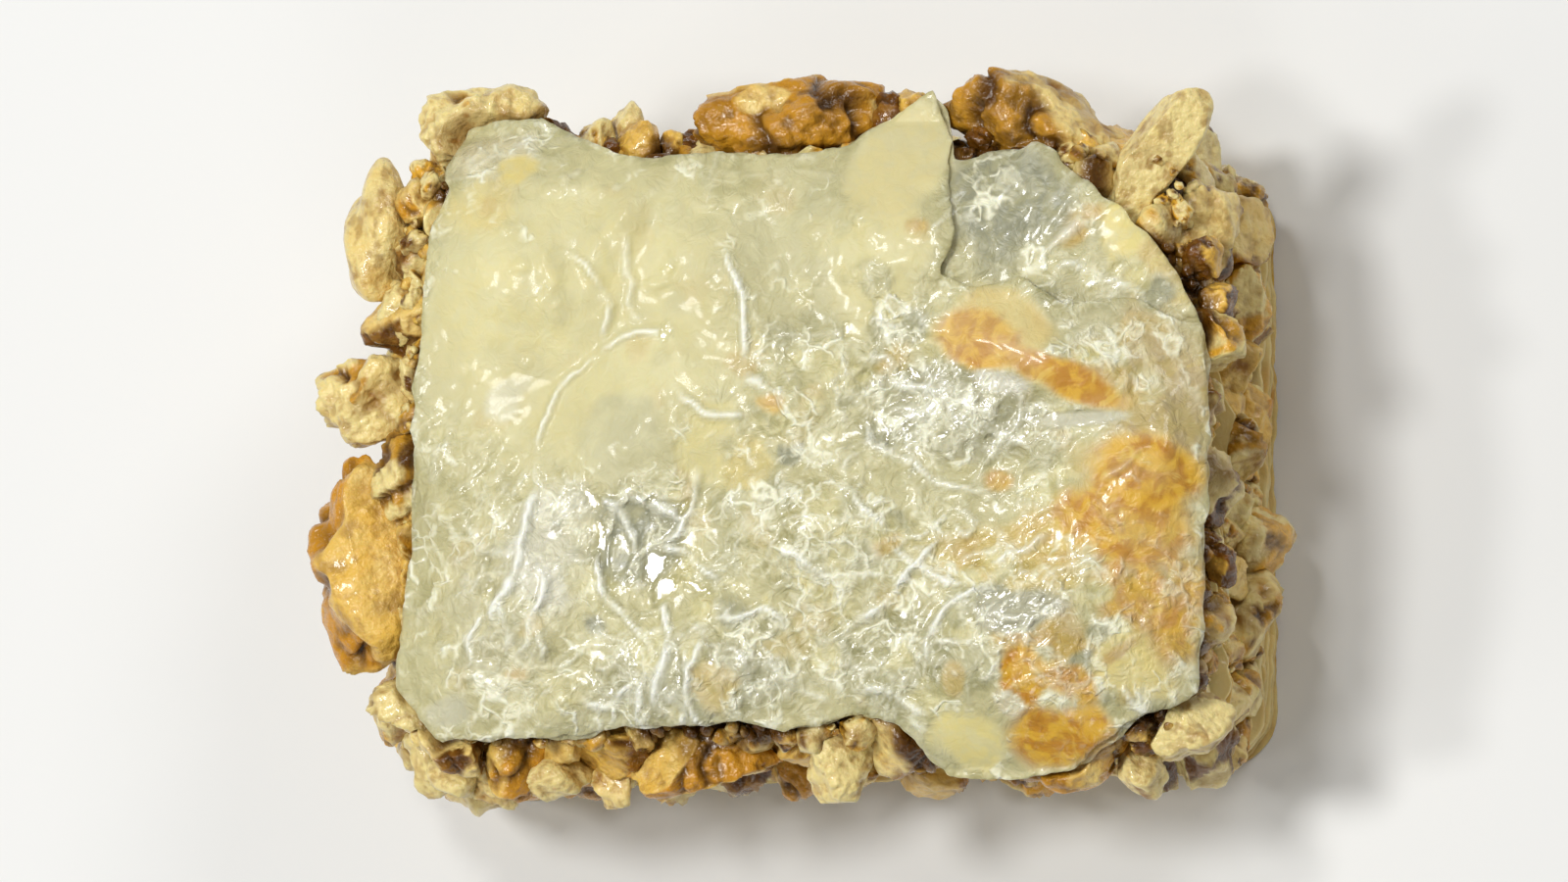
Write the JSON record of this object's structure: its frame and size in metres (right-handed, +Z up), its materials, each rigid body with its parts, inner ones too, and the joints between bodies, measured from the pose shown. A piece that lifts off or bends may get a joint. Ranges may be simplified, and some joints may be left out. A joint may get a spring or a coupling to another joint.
{
  "type": "baklava piece",
  "caption": "Square-cut piece of walnut baklava: stacked wet pastry sheets, chopped walnut layers and a thin torn pastry top, soaked in syrup.",
  "frame": {"origin": "centre of the flat underside of the pastry base, where the piece rests", "axes": "+Z is up, +X is to the right along the longer side, and +Y points to the back edge"},
  "size_m": [0.0661, 0.0498, 0.0281],
  "materials": {
    "pastry": "wet, thin and slightly clear, glossy with syrup",
    "soaked_pastry": "wet, soaked through with syrup",
    "walnut": "glossy with syrup",
    "nut_cream": "broken cream flesh, wet with syrup"
  },
  "bodies": {
    "root": {"pastry_base": "soaked_pastry", "walnut_lower": "walnut", "pastry_middle": "pastry", "walnut_upper": "walnut", "pastry_top": "pastry", "nut_oval_left": "nut_cream", "walnut_crag_left": "walnut", "walnut_gold_left": "walnut", "nut_back_corner": "nut_cream", "walnut_back_left": "walnut", "walnut_back_right": "walnut", "nut_sliver_corner": "nut_cream", "nut_crumb_corner": "nut_cream", "walnut_front_corner": "walnut", "nut_front_cream": "nut_cream", "walnut_front_mid": "walnut"}
  },
  "joints": []
}
